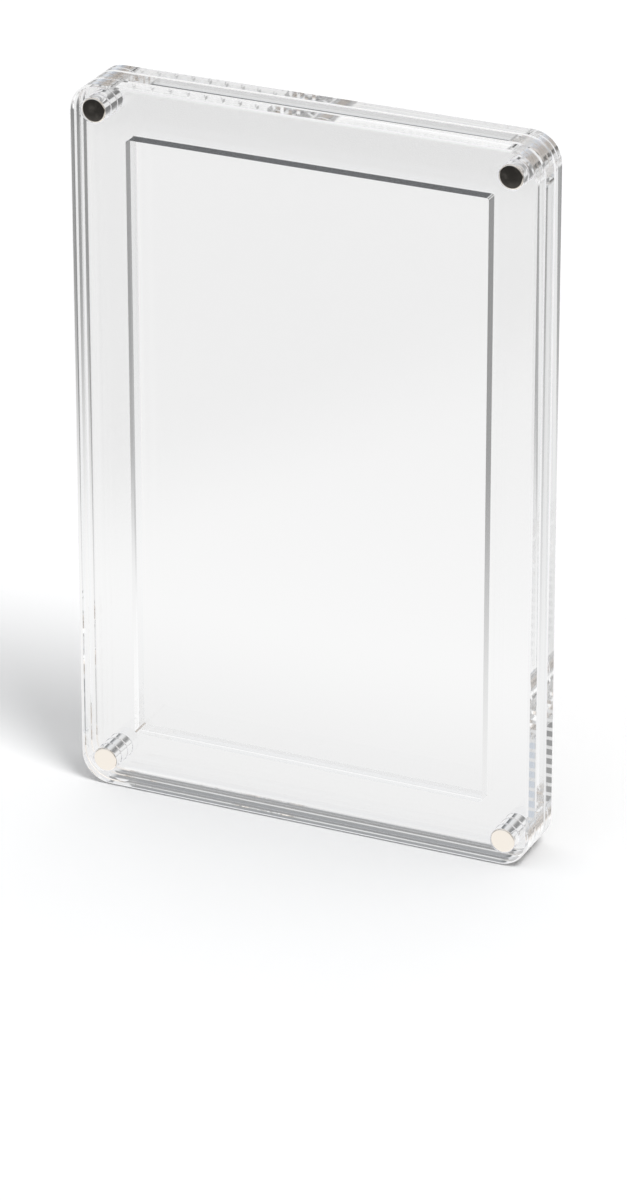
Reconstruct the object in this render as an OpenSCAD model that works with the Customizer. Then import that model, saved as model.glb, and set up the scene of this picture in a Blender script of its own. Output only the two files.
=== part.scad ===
// Clear layered display case for one graded trading card holder.
// Three polished plates hold each other by magnets in their corners: the front plate pulls off
// towards the viewer, the framed middle plate takes the holder, and the back plate closes it behind.
// The case stands upright by itself on its flat lower edge.
// The origin is the middle of the footprint, on the surface that the case stands on.
// +X is the viewer's right, +Y goes to the back, +Z is up.

/* [Card holder] */
// Width of the card holder that the case takes
holder_w = 81; // [60:0.5:120]
// Height of the card holder
holder_h = 136.3; // [100:0.1:180]
// Free space between the holder and each wall of the window
holder_clearance = 0.35; // [0.1:0.05:1]

/* [Plates] */
// Width of the rail on each side of the window
side_rail_w = 11.65; // [10:0.05:20]
// Height of the rail above and below the window
end_rail_h = 12.25; // [10:0.05:20]
// Thickness of the front plate
front_plate_t = 4.4; // [2:0.1:8]
// Thickness of the middle plate with the window
frame_t = 5; // [4.5:0.1:10]
// Thickness of the back plate
back_plate_t = 4.2; // [2:0.1:8]
// Air left between two plates that lie on each other
plate_gap = 0.05; // [0.02:0.01:0.2]
// Radius of the plates' outer corners
corner_r = 6.6; // [4:0.1:9]
// Width of the polished bevel along the plates' outer edges
edge_bevel = 0.3; // [0.1:0.05:0.6]
// Radius of the window's corners
window_corner_r = 0.6; // [0.3:0.1:3]

/* [Magnets] */
// Diameter of the round magnets
magnet_d = 5.4; // [3:0.1:7]
// Distance from each outer edge to a magnet's centre
magnet_inset = 5.7; // [5:0.1:6.5]
// Free space around a magnet in its bore
magnet_clearance = 0.05; // [0.02:0.01:0.15]
// Bevel around the ends of a magnet
magnet_bevel = 0.15; // [0.05:0.05:0.3]

/* [Hidden] */
$fn = 96;
// How far a cutter runs past the faces that it opens
cut_past = 1;
window_w = holder_w + 2 * holder_clearance;
window_h = holder_h + 2 * holder_clearance;
case_w = window_w + 2 * side_rail_w;
case_h = window_h + 2 * end_rail_h;
case_t = front_plate_t + frame_t + back_plate_t + 2 * plate_gap;

// Rear faces of the three plates
front_face_y = -case_t / 2;
front_plate_back_y = front_face_y + front_plate_t;
frame_back_y = front_plate_back_y + plate_gap + frame_t;
back_plate_back_y = frame_back_y + plate_gap + back_plate_t;

// Middles of the bores, in the plates' face
magnet_x = case_w / 2 - magnet_inset;
magnet_low_z = magnet_inset;
magnet_high_z = case_h - magnet_inset;

// Stands a flat shape up, with its thickness running forwards from back_y
module upright(back_y) {
    translate([0, back_y, 0])
        rotate([90, 0, 0])
            children();
}

// Cross-section of a plate, w wide and t thick, with its four corners bevelled
module edge_profile(w, t, bevel) {
    side = w / 2;
    polygon([
        [bevel - side, 0], [side - bevel, 0],
        [side, bevel], [side, t - bevel],
        [side - bevel, t], [bevel - side, t],
        [-side, t - bevel], [-side, bevel]
    ]);
}

// Round disc of radius r and thickness t, bevelled around both ends
module bevelled_disc(r, t, bevel) {
    rotate_extrude()
        polygon([[0, 0], [r - bevel, 0], [r, bevel], [r, t - bevel], [r - bevel, t], [0, t]]);
}

// Rectangle with round corners, standing on the X axis
module rounded_outline(w, h, r) {
    translate([-w / 2, r])
        square([w, h - 2 * r]);
    translate([r - w / 2, 0])
        square([w - 2 * r, h]);
    for (x = [r - w / 2, w / 2 - r], y = [r, h - r])
        translate([x, y])
            circle(r);
}

// Solid plate of the case's outline, flat on the floor, t thick
module bevelled_plate(t) {
    inner_w = case_w - 2 * corner_r;
    inner_h = case_h - 2 * corner_r;
    translate([0, case_h - corner_r, 0])
        rotate([90, 0, 0])
            linear_extrude(inner_h)
                edge_profile(case_w, t, edge_bevel);
    translate([-inner_w / 2, case_h / 2, 0])
        rotate([90, 0, 90])
            linear_extrude(inner_w)
                edge_profile(case_h, t, edge_bevel);
    for (x = [-inner_w / 2, inner_w / 2], y = [corner_r, case_h - corner_r])
        translate([x, y, 0])
            bevelled_disc(corner_r, t, edge_bevel);
}

// The four bores that hold the magnets of a plate t thick
module magnet_bores(t) {
    for (x = [-magnet_x, magnet_x], y = [magnet_low_z, magnet_high_z])
        translate([x, y, -cut_past])
            cylinder(d = magnet_d + 2 * magnet_clearance, h = t + 2 * cut_past);
}

module bored_plate(t) {
    difference() {
        bevelled_plate(t);
        magnet_bores(t);
    }
}

// One magnet, as long as its plate is thick, with its faces flush
module magnet(x, z, back_y, t) {
    color("silver")
        upright(back_y)
            translate([x, z, 0])
                bevelled_disc(magnet_d / 2, t, magnet_bevel);
}

module front_magnet(x, z) {
    magnet(x, z, front_plate_back_y, front_plate_t);
}

module frame_magnet(x, z) {
    magnet(x, z, frame_back_y, frame_t);
}

module back_magnet(x, z) {
    magnet(x, z, back_plate_back_y, back_plate_t);
}

module front_plate() {
    color("aliceblue", 0.35)
        upright(front_plate_back_y)
            bored_plate(front_plate_t);
}

// Middle plate: its window is open at the front and the back, and the two other plates close it
module card_frame() {
    color("lightcyan", 0.35)
        upright(frame_back_y)
            difference() {
                bored_plate(frame_t);
                translate([0, end_rail_h, -cut_past])
                    linear_extrude(frame_t + 2 * cut_past)
                        rounded_outline(window_w, window_h, window_corner_r);
            }
}

module back_plate() {
    color("aliceblue", 0.35)
        upright(back_plate_back_y)
            bored_plate(back_plate_t);
}

front_plate();
card_frame();
back_plate();
front_magnet(-magnet_x, magnet_high_z);  // front_magnet_top_left
front_magnet(magnet_x, magnet_high_z);  // front_magnet_top_right
front_magnet(-magnet_x, magnet_low_z);  // front_magnet_bottom_left
front_magnet(magnet_x, magnet_low_z);  // front_magnet_bottom_right
frame_magnet(-magnet_x, magnet_high_z);  // frame_magnet_top_left
frame_magnet(magnet_x, magnet_high_z);  // frame_magnet_top_right
frame_magnet(-magnet_x, magnet_low_z);  // frame_magnet_bottom_left
frame_magnet(magnet_x, magnet_low_z);  // frame_magnet_bottom_right
back_magnet(-magnet_x, magnet_high_z);  // back_magnet_top_left
back_magnet(magnet_x, magnet_high_z);  // back_magnet_top_right
back_magnet(-magnet_x, magnet_low_z);  // back_magnet_bottom_left
back_magnet(magnet_x, magnet_low_z);  // back_magnet_bottom_right
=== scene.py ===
import math

import bmesh
import bpy
from mathutils import Matrix, Vector


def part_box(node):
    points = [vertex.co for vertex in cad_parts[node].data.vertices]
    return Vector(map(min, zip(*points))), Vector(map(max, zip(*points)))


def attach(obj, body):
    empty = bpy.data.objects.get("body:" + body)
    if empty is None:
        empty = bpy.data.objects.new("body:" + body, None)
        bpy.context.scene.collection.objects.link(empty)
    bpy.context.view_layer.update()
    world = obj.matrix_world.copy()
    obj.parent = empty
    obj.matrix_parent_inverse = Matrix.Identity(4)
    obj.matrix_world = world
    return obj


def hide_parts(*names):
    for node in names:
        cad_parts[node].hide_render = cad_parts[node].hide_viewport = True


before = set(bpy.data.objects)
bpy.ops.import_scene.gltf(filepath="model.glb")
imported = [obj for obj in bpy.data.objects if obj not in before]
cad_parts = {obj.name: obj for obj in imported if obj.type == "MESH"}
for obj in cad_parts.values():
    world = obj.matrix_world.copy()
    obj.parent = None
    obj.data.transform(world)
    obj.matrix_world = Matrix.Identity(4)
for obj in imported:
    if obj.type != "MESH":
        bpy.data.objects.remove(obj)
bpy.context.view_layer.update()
mm = 0.001
near = 1e-6     # metres within which two places count as one
print("frame loaded,", len(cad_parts), "nodes")


# small helpers for working in edit mode

def deselectAll():
    bpy.ops.object.select_all(action="DESELECT")


def workOn(piece):
    deselectAll()
    piece.select_set(True)
    bpy.context.view_layer.objects.active = piece


def keepPlace():
    bpy.ops.object.transform_apply(location=True, rotation=True, scale=True)


def addBlock(name, low, high):
    deselectAll()
    middle = [(a + b) / 2 for a, b in zip(low, high)]
    size = [b - a for a, b in zip(low, high)]
    bpy.ops.mesh.primitive_cube_add(size=1, location=middle, scale=size)
    block = bpy.context.object
    block.name = name
    keepPlace()
    return block


def addRod(name, x, z, lowY, highY, radius, steps):
    deselectAll()
    bpy.ops.mesh.primitive_cylinder_add(
        vertices=steps, radius=radius, depth=highY - lowY,
        location=(x, (lowY + highY) / 2, z), rotation=(math.pi / 2, 0, 0))
    rod = bpy.context.object
    rod.name = name
    keepPlace()
    return rod


def bevelEdges(piece, wanted, offset, steps):
    # bevels the edges whose two ends pass the test
    workOn(piece)
    bpy.ops.object.mode_set(mode="EDIT")
    bpy.ops.mesh.select_mode(type="EDGE")
    bpy.ops.mesh.select_all(action="DESELECT")
    mesh = bmesh.from_edit_mesh(piece.data)
    for edge in mesh.edges:
        edge.select_set(wanted(edge.verts[0].co, edge.verts[1].co))
    bmesh.update_edit_mesh(piece.data)
    bpy.ops.mesh.bevel(offset=offset, segments=steps, profile=0.5, affect="EDGES")
    bpy.ops.object.mode_set(mode="OBJECT")


def inOneFace(a, b):
    # both ends lie equally deep, on the front or the rear
    return abs(a.y - b.y) < near


def runsBackwards(a, b):
    return abs(a.x - b.x) < near and abs(a.z - b.z) < near and not inOneFace(a, b)


def cutAway(piece, cutter):
    workOn(piece)
    cut = piece.modifiers.new("cut", "BOOLEAN")
    cut.object = cutter
    cut.operation = "DIFFERENCE"
    cut.solver = "EXACT"
    bpy.ops.object.modifier_apply(modifier="cut")
    bpy.data.objects.remove(cutter)


def bevelSharp(piece, width, steps, angle):
    workOn(piece)
    rim = piece.modifiers.new("rim", "BEVEL")
    rim.width = width
    rim.segments = steps
    rim.limit_method = "ANGLE"
    rim.angle_limit = math.radians(angle)
    bpy.ops.object.modifier_apply(modifier="rim")


def smoothRound(piece, angle):
    # round stretches shade smooth, and wide flat faces keep their own normal
    workOn(piece)
    bpy.ops.object.shade_smooth_by_angle(angle=math.radians(angle))
    even = piece.modifiers.new("even", "WEIGHTED_NORMAL")
    even.keep_sharp = True
    bpy.ops.object.modifier_apply(modifier="even")


# camera, solved from the case's outline in the photograph

camera = {
    "place": (478.4, -1046.5, 591.5),  # mm, from the middle of the front face's lower edge
    "turn": 24.43,                     # degrees to the right of the case
    "tilt": 25.08,                     # degrees down
    "roll": -0.10,
    "lens": 180.45,
    "sensorHeight": 36,
}


def setCamera():
    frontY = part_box("front_plate")[0][1]
    x, y, z = camera["place"]
    lensData = bpy.data.cameras.new("photoView")
    lensData.sensor_fit = "VERTICAL"
    lensData.sensor_height = camera["sensorHeight"]
    lensData.lens = camera["lens"]
    holder = bpy.data.objects.new("photoView", lensData)
    bpy.context.scene.collection.objects.link(holder)
    turn = Matrix.Rotation(math.radians(camera["turn"]), 4, "Z")
    tilt = Matrix.Rotation(math.radians(90 - camera["tilt"]), 4, "X")
    roll = Matrix.Rotation(math.radians(camera["roll"]), 4, "Z")
    place = Matrix.Translation(Vector((x * mm, y * mm + frontY, z * mm)))
    holder.matrix_world = place @ turn @ tilt @ roll
    bpy.context.scene.camera = holder


setCamera()
print("camera set")


# materials

layout = {"columns": 6, "stepX": 220, "stepY": 320}


def spreadOut(nodes):
    # lays the nodes out in rows, in the order in which they were made
    for index, node in enumerate(nodes):
        row, column = divmod(index, layout["columns"])
        node.location = (column * layout["stepX"], -row * layout["stepY"])


marksValues = {
    "cloudDetail": 4,
    "cloudFrom": 0.45,      # where the noise starts to show as a wiped spot
    "cloudTo": 0.75,
    "scratchDetail": 2,
    "scratchTwist": 0.6,
}


def makeHandlingGroup():
    # faint cloudy wiping marks and hairline scratches, as a roughness and a height
    group = bpy.data.node_groups.new("handlingMarks", "ShaderNodeTree")
    sockets = group.interface
    sockets.new_socket(name="Vector", in_out="INPUT", socket_type="NodeSocketVector")
    for label in ("Cloud Scale", "Scratch Scale", "Base Roughness", "Added Roughness"):
        sockets.new_socket(name=label, in_out="INPUT", socket_type="NodeSocketFloat")
    for label in ("Roughness", "Height"):
        sockets.new_socket(name=label, in_out="OUTPUT", socket_type="NodeSocketFloat")
    nodes = group.nodes
    links = group.links
    start = nodes.new("NodeGroupInput")
    clouds = nodes.new("ShaderNodeTexNoise")
    clouds.inputs["Detail"].default_value = marksValues["cloudDetail"]
    wiped = nodes.new("ShaderNodeMapRange")
    wiped.inputs["From Min"].default_value = marksValues["cloudFrom"]
    wiped.inputs["From Max"].default_value = marksValues["cloudTo"]
    added = nodes.new("ShaderNodeMath")
    added.operation = "MULTIPLY"
    total = nodes.new("ShaderNodeMath")
    total.operation = "ADD"
    scratches = nodes.new("ShaderNodeTexNoise")
    scratches.inputs["Detail"].default_value = marksValues["scratchDetail"]
    scratches.inputs["Distortion"].default_value = marksValues["scratchTwist"]
    end = nodes.new("NodeGroupOutput")
    links.new(start.outputs["Vector"], clouds.inputs["Vector"])
    links.new(start.outputs["Cloud Scale"], clouds.inputs["Scale"])
    links.new(start.outputs["Vector"], scratches.inputs["Vector"])
    links.new(start.outputs["Scratch Scale"], scratches.inputs["Scale"])
    links.new(clouds.outputs["Fac"], wiped.inputs["Value"])
    links.new(wiped.outputs["Result"], added.inputs[0])
    links.new(start.outputs["Added Roughness"], added.inputs[1])
    links.new(added.outputs[0], total.inputs[0])
    links.new(start.outputs["Base Roughness"], total.inputs[1])
    links.new(total.outputs[0], end.inputs["Roughness"])
    links.new(scratches.outputs["Fac"], end.inputs["Height"])
    spreadOut(nodes)
    return group


handlingMarks = makeHandlingGroup()


def newMaterial(name):
    material = bpy.data.materials.new(name)
    material.use_nodes = True
    return material, material.node_tree.nodes, material.node_tree.links


def addMarks(nodes, links, shader, values):
    place = nodes.new("ShaderNodeTexCoord")
    stretch = nodes.new("ShaderNodeMapping")
    stretch.inputs["Scale"].default_value = values["stretch"]
    marks = nodes.new("ShaderNodeGroup")
    marks.node_tree = handlingMarks
    for label, key in (("Cloud Scale", "cloudScale"), ("Scratch Scale", "scratchScale"),
                       ("Base Roughness", "baseRoughness"),
                       ("Added Roughness", "addedRoughness")):
        marks.inputs[label].default_value = values[key]
    bump = nodes.new("ShaderNodeBump")
    bump.inputs["Strength"].default_value = values["bumpStrength"]
    bump.inputs["Distance"].default_value = values["bumpDepth"] * mm
    links.new(place.outputs["Object"], stretch.inputs["Vector"])
    links.new(stretch.outputs["Vector"], marks.inputs["Vector"])
    links.new(marks.outputs["Roughness"], shader.inputs["Roughness"])
    links.new(marks.outputs["Height"], bump.inputs["Height"])
    links.new(bump.outputs["Normal"], shader.inputs["Normal"])
    spreadOut(nodes)


acrylicIndex = 1.49     # how strongly acrylic bends light

acrylicFaceValues = {
    "tint": (1, 1, 1),
    "stretch": (1, 1, 1),
    "cloudScale": 45,
    "scratchScale": 120,
    "baseRoughness": 0,
    "addedRoughness": 0.004,
    "bumpStrength": 0.02,
    "bumpDepth": 0.002,         # mm
}
acrylicEdgeValues = {
    "tint": (0.995, 0.997, 1),
    "stretch": (1, 1, 1),
    "cloudScale": 90,
    "scratchScale": 260,
    "baseRoughness": 0.004,
    "addedRoughness": 0.016,
    "bumpStrength": 0.03,
    "bumpDepth": 0.004,
}
acrylicBoreValues = {
    "tint": (0.97, 0.97, 1),
    "stretch": (0.1, 1, 0.1),   # rings left by the drill
    "cloudScale": 700,
    "scratchScale": 800,
    "baseRoughness": 0.01,
    "addedRoughness": 0.03,
    "bumpStrength": 0.1,
    "bumpDepth": 0.03,
}


def makeAcrylic(name, values):
    material, nodes, links = newMaterial(name)
    shader = nodes["Principled BSDF"]
    shader.inputs["Base Color"].default_value = (*values["tint"], 1)
    shader.inputs["IOR"].default_value = acrylicIndex
    shader.inputs["Transmission Weight"].default_value = 1
    shader.inputs["Metallic"].default_value = 0
    addMarks(nodes, links, shader, values)
    return material


acrylicFace = makeAcrylic("acrylicFace", acrylicFaceValues)
acrylicEdge = makeAcrylic("acrylicEdge", acrylicEdgeValues)
acrylicBore = makeAcrylic("acrylicBore", acrylicBoreValues)

nickelValues = {
    "color": (0.92, 0.86, 0.78),
    "stretch": (1, 1, 1),
    "cloudScale": 500,
    "scratchScale": 900,
    "baseRoughness": 0.04,
    "addedRoughness": 0.05,
    "bumpStrength": 0.1,
    "bumpDepth": 0.01,
}


def makeNickel(values):
    material, nodes, links = newMaterial("nickelPlating")
    shader = nodes["Principled BSDF"]
    shader.inputs["Base Color"].default_value = (*values["color"], 1)
    shader.inputs["Metallic"].default_value = 1
    addMarks(nodes, links, shader, values)
    return material


nickel = makeNickel(nickelValues)
print("materials made")


# the three plates, sizes in mm and angles in degrees

plateValues = {
    "cornerRadius": 6.6,
    "cornerSteps": 24,
    "edgeBevel": 0.42,
    "edgeBevelSteps": 1,
    "boreDiameter": 5.5,
    "boreSteps": 64,
    "magnetInset": 5.7,
    "boreBevel": 0.22,
    "boreBevelSteps": 3,
    "rimBevel": 0.06,       # on every edge that is still sharp
    "rimBevelSteps": 1,
    "sharpAngle": 70,
    "smoothAngle": 20,
    "windowWidth": 81.7,
    "windowHeight": 137,
    "windowLowZ": 12.25,
    "windowRadius": 0.6,
    "windowSteps": 6,
    "cutPast": 1,
    "flatNormal": 0.99,     # a normal's share along Y from which a face is a wide one
}


def dressInAcrylic(piece, bores):
    # wide faces take the cast surface, edges and window the polished one, bores their own
    piece.data.materials.clear()
    for finish in (acrylicFace, acrylicEdge, acrylicBore):
        piece.data.materials.append(finish)
    cast, polished, drilled = range(3)
    reach = (plateValues["boreDiameter"] / 2 + plateValues["boreBevel"]) * mm
    for face in piece.data.polygons:
        middle = face.center
        if abs(face.normal.y) > plateValues["flatNormal"]:
            face.material_index = cast
        elif any(math.hypot(middle.x - x, middle.z - z) < reach for x, z in bores):
            face.material_index = drilled
        else:
            face.material_index = polished


def drillBores(plate, low, high, bores):
    past = plateValues["cutPast"] * mm
    radius = plateValues["boreDiameter"] / 2 * mm
    for x, z in bores:
        cutAway(plate, addRod("bore", x, z, low.y - past, high.y + past, radius,
                              plateValues["boreSteps"]))

    def isBoreRim(a, b):
        return inOneFace(a, b) and any(
            max(abs(math.hypot(end.x - x, end.z - z) - radius) for end in (a, b)) < near
            for x, z in bores)

    bevelEdges(plate, isBoreRim, plateValues["boreBevel"] * mm, plateValues["boreBevelSteps"])


def cutWindow(plate, low, high):
    past = plateValues["cutPast"] * mm
    half = plateValues["windowWidth"] / 2 * mm
    lowZ = plateValues["windowLowZ"] * mm
    highZ = lowZ + plateValues["windowHeight"] * mm
    window = addBlock("window", (-half, low.y - past, lowZ), (half, high.y + past, highZ))
    bevelEdges(window, runsBackwards, plateValues["windowRadius"] * mm,
               plateValues["windowSteps"])
    cutAway(plate, window)


def makePlate(name, node, body, hasWindow):
    low, high = (Vector(corner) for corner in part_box(node))
    inset = plateValues["magnetInset"] * mm
    bores = [(x, z) for x in (low.x + inset, high.x - inset)
             for z in (low.z + inset, high.z - inset)]
    plate = addBlock(name, low, high)
    bevelEdges(plate, runsBackwards, plateValues["cornerRadius"] * mm,
               plateValues["cornerSteps"])
    bevelEdges(plate, inOneFace, plateValues["edgeBevel"] * mm, plateValues["edgeBevelSteps"])
    drillBores(plate, low, high, bores)
    if hasWindow:
        cutWindow(plate, low, high)
    bevelSharp(plate, plateValues["rimBevel"] * mm, plateValues["rimBevelSteps"],
               plateValues["sharpAngle"])
    smoothRound(plate, plateValues["smoothAngle"])
    dressInAcrylic(plate, bores)
    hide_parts(node)
    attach(plate, body)


makePlate("frontPlate", "front_plate", "front", False)
makePlate("cardFrame", "card_frame", "frame", True)
makePlate("backPlate", "back_plate", "back", False)
print("plates made")


# the magnets, one shape for each plate, copied into its four corners

magnetValues = {
    "steps": 64,
    "rim": 0.3,             # mm
    "rimSteps": 5,
    "smoothAngle": 40,      # degrees
}


def makePattern(node):
    # the magnet of one layer, at its depth but not yet in a corner
    low, high = (Vector(corner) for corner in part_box(node))
    radius = (high.x - low.x) / 2
    pattern = addRod("pattern", 0, 0, low.y, high.y, radius, magnetValues["steps"])
    bevelEdges(pattern, inOneFace, magnetValues["rim"] * mm, magnetValues["rimSteps"])
    smoothRound(pattern, magnetValues["smoothAngle"])
    pattern.data.materials.append(nickel)
    return pattern


def makeMagnets(layer):
    corners = ("bottom_left", "bottom_right", "top_left", "top_right")
    pattern = makePattern(layer + "_magnet_" + corners[0])
    for corner in corners:
        node = layer + "_magnet_" + corner
        low, high = (Vector(end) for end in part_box(node))
        middle = (low + high) / 2
        magnet = pattern.copy()
        magnet.data = pattern.data.copy()
        magnet.name = layer + "Magnet." + corner
        bpy.context.scene.collection.objects.link(magnet)
        magnet.data.transform(Matrix.Translation((middle.x, 0, middle.z)))
        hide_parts(node)
        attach(magnet, layer)
    bpy.data.objects.remove(pattern)


for layer in ("front", "frame", "back"):
    makeMagnets(layer)
print("magnets made")


# helpers for the light on the table and in the room

def mapTo(nodes, links, source, fromMin, fromMax, toMin, toMax, kind="SMOOTHSTEP"):
    fade = nodes.new("ShaderNodeMapRange")
    fade.interpolation_type = kind
    fade.inputs["From Min"].default_value = fromMin
    fade.inputs["From Max"].default_value = fromMax
    fade.inputs["To Min"].default_value = toMin
    fade.inputs["To Max"].default_value = toMax
    links.new(source, fade.inputs["Value"])
    return fade.outputs["Result"]


def along(nodes, links, source, way):
    # how far a place or a direction goes that way
    dot = nodes.new("ShaderNodeVectorMath")
    dot.operation = "DOT_PRODUCT"
    dot.inputs[1].default_value = way
    links.new(source, dot.inputs[0])
    return dot.outputs["Value"]


def combine(nodes, links, operation, first, second):
    node = nodes.new("ShaderNodeMath")
    node.operation = operation
    links.new(first, node.inputs[0])
    links.new(second, node.inputs[1])
    return node.outputs[0]


def mixColors(nodes, links, factor, first, second):
    mix = nodes.new("ShaderNodeMix")
    mix.data_type = "RGBA"
    links.new(factor, mix.inputs["Factor"])
    for socket, value in ((mix.inputs["A"], first), (mix.inputs["B"], second)):
        if isinstance(value, tuple):
            socket.default_value = (*value, 1)
        else:
            links.new(value, socket)
    return mix.outputs["Result"]


def rampOver(nodes, links, source, low, high, stops, kind):
    # a row of levels between low and high, each at its share of the way
    ramp = nodes.new("ShaderNodeValToRGB")
    ramp.color_ramp.interpolation = kind
    elements = ramp.color_ramp.elements
    while len(elements) < len(stops):
        elements.new(0.5)
    for element, (position, level) in zip(elements, stops):
        element.position = position
        element.color = (level, level, level, 1)
    links.new(mapTo(nodes, links, source, low, high, 0, 1, "LINEAR"), ramp.inputs["Fac"])
    return ramp.outputs["Color"]


# The table is white with the case's shadow where the eye sees it directly. To light that comes
# by way of plates and magnets it glows with painted light and painted shade, which show where
# its lit part ends.
# A fade says from where to where in metres, and the level of light at each of the two.

tableValues = {
    "size": 8,
    "drop": 0.2,                            # mm, so that a film of air is left under the case
    "color": (1, 1, 1),
    "roughness": 0.4,
    "frontSlant": (1, 0.4, 0),              # in front the painted light ends to the left, this way
    "frontEdge": (-0.2, -0.13, 0.55, 1),
    "frontFall": (-0.25, 0, 0.6, 1),        # and grows less towards the viewer
    "frontEnd": (-0.38, -0.35, 0.08, 1),    # painted shade: far in front the glow drops almost to black
    "rearSlant": (0.91, 0.41, 0),           # behind, the painted light fades to the right, this way
    "rearEdge": (0.035, 0.2, 0.95, 0.27),
    "rearFall": (0.01, 0.09, 0.88, 1),      # and has painted shade close to the case
    "crossing": (-0.01, 0, 0, 1),           # from the front part to the rear part
    "underReach": 0.01,                     # painted light under the plates, for what they pipe up to their top edges
    "underStops": ((0, 1), (0.11, 1.24), (0.38, 1.12), (0.63, 1.2), (0.89, 1)),
    "plainFall": (0.01, 0.09, 0.836, 0.95),     # painted glow seen straight through, on every side, with painted shade close to the case
}


# the painted glow, light and shade, that rays which bounced in plates and magnets see on the
# table
def paintedTableGlow(nodes, links, place, depth):
    frontSide = along(nodes, links, place, tableValues["frontSlant"])
    rearSide = along(nodes, links, place, tableValues["rearSlant"])
    frontEdge = mapTo(nodes, links, frontSide, *tableValues["frontEdge"])
    frontFall = mapTo(nodes, links, depth, *tableValues["frontFall"])
    frontEnd = mapTo(nodes, links, depth, *tableValues["frontEnd"])
    front = combine(nodes, links, "MULTIPLY", frontEdge, frontFall)
    front = combine(nodes, links, "MULTIPLY", front, frontEnd)
    rearEdge = mapTo(nodes, links, rearSide, *tableValues["rearEdge"])
    rearFall = mapTo(nodes, links, depth, *tableValues["rearFall"])
    rear = combine(nodes, links, "MULTIPLY", rearEdge, rearFall)
    behind = mapTo(nodes, links, depth, *tableValues["crossing"])
    # painted light under the case, brighter under each plate
    reach = tableValues["underReach"]
    under = rampOver(nodes, links, depth, -reach, reach, tableValues["underStops"], "CONSTANT")
    whole = mixColors(nodes, links, behind, front, rear)
    return combine(nodes, links, "MULTIPLY", whole, under)


def makeFloor():
    deselectAll()
    bpy.ops.mesh.primitive_plane_add(size=tableValues["size"],
                                     location=(0, 0, -tableValues["drop"] * mm))
    floor = bpy.context.object
    floor.name = "floor"
    material, nodes, links = newMaterial("paleTable")
    material.cycles.emission_sampling = "NONE"
    shader = nodes["Principled BSDF"]
    shader.inputs["Roughness"].default_value = tableValues["roughness"]
    shader.inputs["Specular IOR Level"].default_value = 0
    place = nodes.new("ShaderNodeTexCoord").outputs["Object"]
    depth = along(nodes, links, place, (0, 1, 0))
    paintedBounceGlow = paintedTableGlow(nodes, links, place, depth)
    distance = combine(nodes, links, "MAXIMUM", depth, along(nodes, links, place, (0, -1, 0)))
    # the painted glow for rays straight through a plate, with painted shade close to the case
    paintedStraightGlow = mapTo(nodes, links, distance, *tableValues["plainFall"])
    path = nodes.new("ShaderNodeLightPath")
    hasBounced = mapTo(nodes, links, path.outputs["Glossy Depth"], 0, 1, 0, 1)
    # rays by way of plates and magnets see the table black, glowing with the painted light and
    # shade
    throughPlate = combine(nodes, links, "MAXIMUM", path.outputs["Is Glossy Ray"],
                           path.outputs["Is Transmission Ray"])
    ownColor = mixColors(nodes, links, throughPlate, tableValues["color"], (0, 0, 0))
    links.new(ownColor, shader.inputs["Base Color"])
    links.new(mixColors(nodes, links, hasBounced, paintedStraightGlow, paintedBounceGlow),
              shader.inputs["Emission Color"])
    links.new(throughPlate, shader.inputs["Emission Strength"])
    spreadOut(nodes)
    floor.data.materials.append(material)


# the room around the table; a fade goes over the cosine to a way, or over the height

roomValues = {
    "skyStops": ((0, 0.6), (0.5, 0.5), (0.73, 0.56), (0.85, 0.66), (1, 0.82)),  # down to up
    "backFade": (0.55, 0.75, 0, 1),         # panels behind the table, seen in the bores
    "backStops": ((0.2, 0.8), (0.32, 0.5), (0.4, 0.8), (0.52, 0.75), (0.62, 0.22),
                  (0.7, 0.18), (0.8, 0.7)),     # left to right
    "backdropFade": (0.25, 0.33, 1, 0),     # and the lit backdrop below them, in the bevels
    "backdropLevel": 0.9,
    "flagWay": (0.7, -0.15, 0.7),           # black cloth at the upper right
    "flagFade": (0.93, 0.97, 0, 1),
    "flagLevel": 0.04,
    "blueWay": (-0.415, -0.804, 0.425),     # the side with daylight
    "blueFade": (0.85, 0.95, 0, 1),
    "blueColor": (0.62, 0.67, 0.74),
    "darkWay": (-0.38, 0.826, 0.415),       # the unlit end of the room
    "darkFade": (0.98, 0.993, 0, 1),
    "darkHeight": (0.37, 0.57, 1, 0),
    "darkLevel": 0.09,
}


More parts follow.
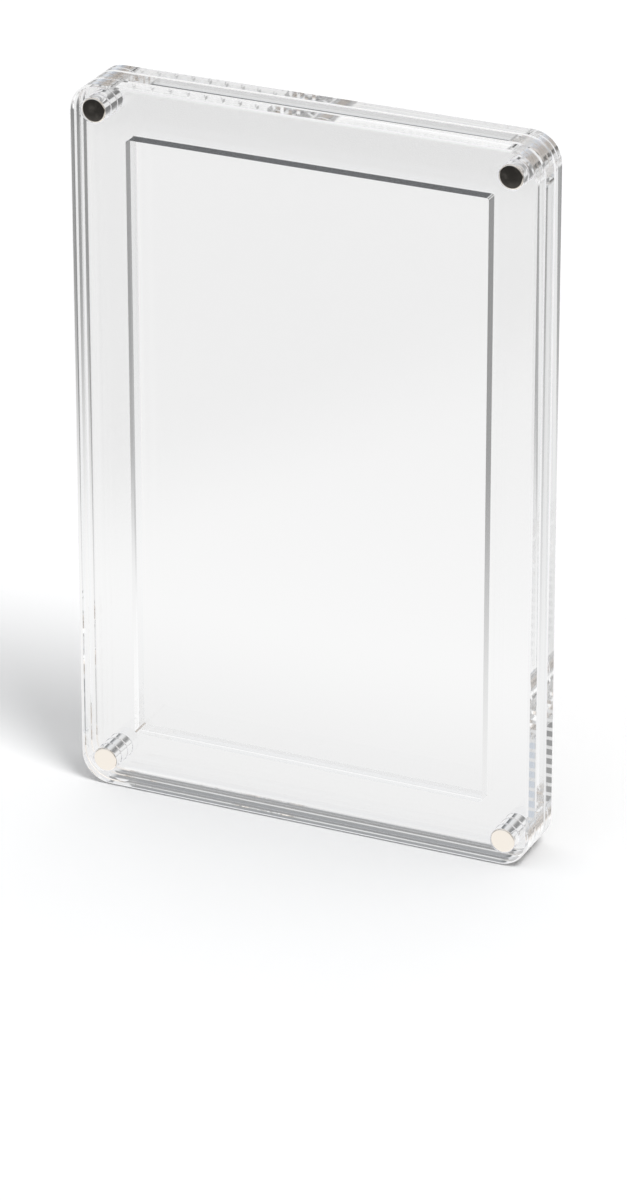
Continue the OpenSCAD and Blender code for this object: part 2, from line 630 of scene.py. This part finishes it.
def makeWorld():
    world = bpy.data.worlds.new("studio")
    bpy.context.scene.world = world
    world.use_nodes = True
    nodes = world.node_tree.nodes
    links = world.node_tree.links
    way = nodes.new("ShaderNodeTexCoord").outputs["Generated"]
    side = along(nodes, links, way, (1, 0, 0))
    depth = along(nodes, links, way, (0, 1, 0))
    height = along(nodes, links, way, (0, 0, 1))

    def patch(name, direction):
        return mapTo(nodes, links, along(nodes, links, way, direction), *roomValues[name])

    sky = rampOver(nodes, links, height, -1, 1, roomValues["skyStops"], "LINEAR")
    back = rampOver(nodes, links, side, -1, 1, roomValues["backStops"], "LINEAR")
    isBack = mapTo(nodes, links, depth, *roomValues["backFade"])
    isLow = mapTo(nodes, links, height, *roomValues["backdropFade"])
    isBackdrop = combine(nodes, links, "MULTIPLY", isBack, isLow)
    isFlag = patch("flagFade", Vector(roomValues["flagWay"]).normalized())
    isBlue = patch("blueFade", roomValues["blueWay"])
    isUnlit = mapTo(nodes, links, height, *roomValues["darkHeight"])
    isDark = combine(nodes, links, "MULTIPLY", patch("darkFade", roomValues["darkWay"]), isUnlit)
    color = mixColors(nodes, links, isBack, sky, back)
    color = mixColors(nodes, links, isBackdrop, color, (roomValues["backdropLevel"],) * 3)
    color = mixColors(nodes, links, isFlag, color, (roomValues["flagLevel"],) * 3)
    color = mixColors(nodes, links, isBlue, color, roomValues["blueColor"])
    color = mixColors(nodes, links, isDark, color, (roomValues["darkLevel"],) * 3)
    links.new(color, nodes["Background"].inputs["Color"])
    spreadOut(nodes)


lampValues = {
    "place": (0.664, -0.361, 1.305),    # metres, and it shines from here to the origin
    "angle": 21,                        # degrees, the softness of the shadow
    "strength": 1.6,
}


def makeLamp():
    # the soft light on the right that gives the case its shadow
    lampData = bpy.data.lights.new("softBox", "SUN")
    lampData.angle = math.radians(lampValues["angle"])
    lampData.energy = lampValues["strength"]
    lamp = bpy.data.objects.new("softBox", lampData)
    lamp.visible_glossy = False
    lamp.visible_transmission = False
    bpy.context.scene.collection.objects.link(lamp)
    place = Vector(lampValues["place"])
    turn = place.to_track_quat("Z", "Y").to_matrix().to_4x4()
    lamp.matrix_world = Matrix.Translation(place) @ turn


makeFloor()
makeWorld()
makeLamp()
bounces = 160       # light zigzags through a plate from edge to edge and back
scene = bpy.context.scene
scene.view_settings.view_transform = "Standard"
scene.cycles.max_bounces = bounces
scene.cycles.transmission_bounces = bounces
scene.cycles.glossy_bounces = bounces
print("studio made")
